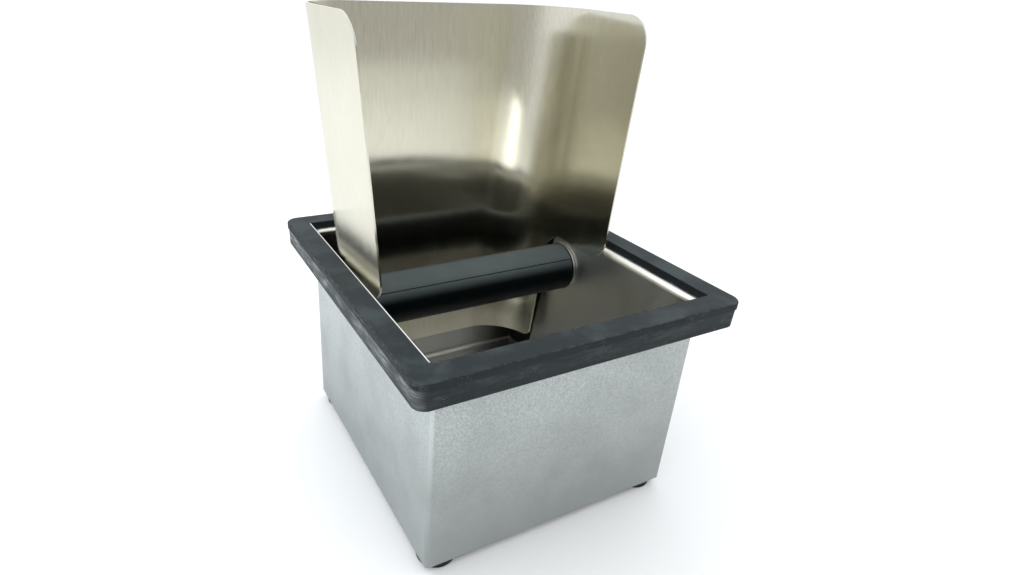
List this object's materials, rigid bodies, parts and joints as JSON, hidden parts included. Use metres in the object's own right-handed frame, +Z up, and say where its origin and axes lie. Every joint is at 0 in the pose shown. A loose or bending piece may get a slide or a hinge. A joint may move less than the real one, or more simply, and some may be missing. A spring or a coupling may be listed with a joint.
{
  "type": "espresso knock box",
  "caption": "Open-top bin with a rubber rim, a rubber-sleeved bar across its mouth for knocking out coffee pucks, and a bent steel splash shield behind the bar.",
  "frame": {"origin": "on the surface the box stands on, midway between its sides and between its front and back", "axes": "+X to the right across the front, -Y towards the user, +Z up"},
  "size_m": [0.18, 0.1924, 0.2495],
  "materials": {
    "silver_paint": "fine textured silver paint",
    "liner_steel": "brushed satin stainless",
    "shield_steel": "brushed along its height",
    "bar_steel": "satin",
    "rim_rubber": "matte, dusty and scuffed at its outer side",
    "sleeve_rubber": "smooth, slightly shiny",
    "foot_rubber": "matte",
    "zinc_steel": "bright zinc plate"
  },
  "bodies": {
    "case": {"outer_case": "silver_paint", "foot_front_left": "foot_rubber", "foot_front_right": "foot_rubber", "foot_rear_left": "foot_rubber", "foot_rear_right": "foot_rubber", "foot_screw_front_left": "zinc_steel", "foot_screw_front_right": "zinc_steel", "foot_screw_rear_left": "zinc_steel", "foot_screw_rear_right": "zinc_steel", "foot_washer_front_left": "zinc_steel", "foot_washer_front_right": "zinc_steel", "foot_washer_rear_left": "zinc_steel", "foot_washer_rear_right": "zinc_steel", "foot_nut_front_left": "zinc_steel", "foot_nut_front_right": "zinc_steel", "foot_nut_rear_left": "zinc_steel", "foot_nut_rear_right": "zinc_steel"},
    "liner": {"liner": "liner_steel", "rim_frame": "rim_rubber", "bar_tube": "bar_steel", "bar_disc_left": "bar_steel", "bar_disc_right": "bar_steel"},
    "sleeve": {"bar_sleeve": "sleeve_rubber"},
    "shield": {"splash_shield": "shield_steel"}
  },
  "joints": [
    {"name": "liner_lift", "type": "slide", "parent": "case", "child": "liner", "axis": [0, 0, 1], "range_m": [0, 0.12]},
    {"name": "sleeve_turn", "type": "hinge", "parent": "liner", "child": "sleeve", "pos_m": [0, 0.02885, 0.0945], "axis": [1, 0, 0], "continuous": true},
    {"name": "shield_lift", "type": "slide", "parent": "liner", "child": "shield", "axis": [0, 0, 1], "range_m": [0, 0.1]}
  ]
}
